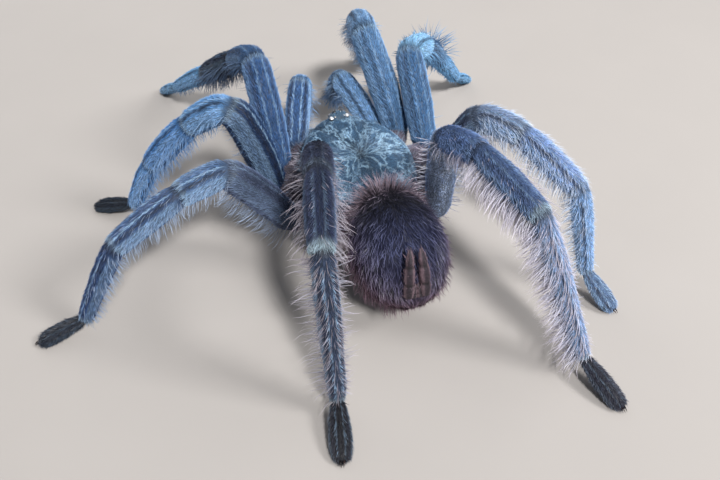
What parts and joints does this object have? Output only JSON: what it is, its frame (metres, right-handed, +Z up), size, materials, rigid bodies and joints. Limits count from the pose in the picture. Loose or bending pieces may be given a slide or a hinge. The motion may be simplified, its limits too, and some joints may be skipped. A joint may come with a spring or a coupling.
{
  "type": "tarantula",
  "caption": "Still, life-size tarantula creeping forward with its knees raised, a bristly blue coat on its legs and a dark violet abdomen, for display.",
  "frame": {"origin": "on the ground under the middle of the model's bounding box", "axes": "+Z up, the head points to -Y, the animal's left side is +X"},
  "size_m": [0.0732, 0.0824, 0.0239],
  "materials": {
    "carapace_pile": "short teal pubescence in radial streaks",
    "leg_coat": "steel-blue short coat with pale bristles",
    "foot_pad": "charcoal scopula with two pale stripes",
    "abdomen_coat": "dark violet velvet with maroon-tinged long hairs",
    "spinneret_coat": "mauve-brown short hair",
    "eye_gloss": "glossy dark lens",
    "fang_horn": "polished black horn",
    "bristle": "pale pinkish-grey bristles"
  },
  "bodies": {
    "root": {"prosoma": "carapace_pile", "abdomen": "abdomen_coat", "ocular_tubercle": "carapace_pile", "chelicera_left": "carapace_pile", "fang_left": "fang_horn", "spinneret_left": "spinneret_coat", "chelicera_right": "carapace_pile", "fang_right": "fang_horn", "spinneret_right": "spinneret_coat", "leg_1_left_femur": "leg_coat", "leg_1_left_patella": "leg_coat", "leg_1_left_tibia": "leg_coat", "leg_1_left_metatarsus": "leg_coat", "leg_1_left_tarsus": "foot_pad", "leg_2_left_femur": "leg_coat", "leg_2_left_patella": "leg_coat", "leg_2_left_tibia": "leg_coat", "leg_2_left_metatarsus": "leg_coat", "leg_2_left_tarsus": "foot_pad", "leg_3_left_femur": "leg_coat", "leg_3_left_patella": "leg_coat", "leg_3_left_tibia": "leg_coat", "leg_3_left_metatarsus": "leg_coat", "leg_3_left_tarsus": "foot_pad", "leg_4_left_femur": "leg_coat", "leg_4_left_patella": "leg_coat", "leg_4_left_tibia": "leg_coat", "leg_4_left_metatarsus": "leg_coat", "leg_4_left_tarsus": "foot_pad", "palp_left_femur": "leg_coat", "palp_left_patella": "leg_coat", "palp_left_tibia": "leg_coat", "palp_left_tarsus": "leg_coat", "leg_1_right_femur": "leg_coat", "leg_1_right_patella": "leg_coat", "leg_1_right_tibia": "leg_coat", "leg_1_right_metatarsus": "leg_coat", "leg_1_right_tarsus": "foot_pad", "leg_2_right_femur": "leg_coat", "leg_2_right_patella": "leg_coat", "leg_2_right_tibia": "leg_coat", "leg_2_right_metatarsus": "leg_coat", "leg_2_right_tarsus": "foot_pad", "leg_3_right_femur": "leg_coat", "leg_3_right_patella": "leg_coat", "leg_3_right_tibia": "leg_coat", "leg_3_right_metatarsus": "leg_coat", "leg_3_right_tarsus": "foot_pad", "leg_4_right_femur": "leg_coat", "leg_4_right_patella": "leg_coat", "leg_4_right_tibia": "leg_coat", "leg_4_right_metatarsus": "leg_coat", "leg_4_right_tarsus": "foot_pad", "palp_right_femur": "leg_coat", "palp_right_patella": "leg_coat", "palp_right_tibia": "leg_coat", "palp_right_tarsus": "leg_coat"}
  },
  "joints": []
}
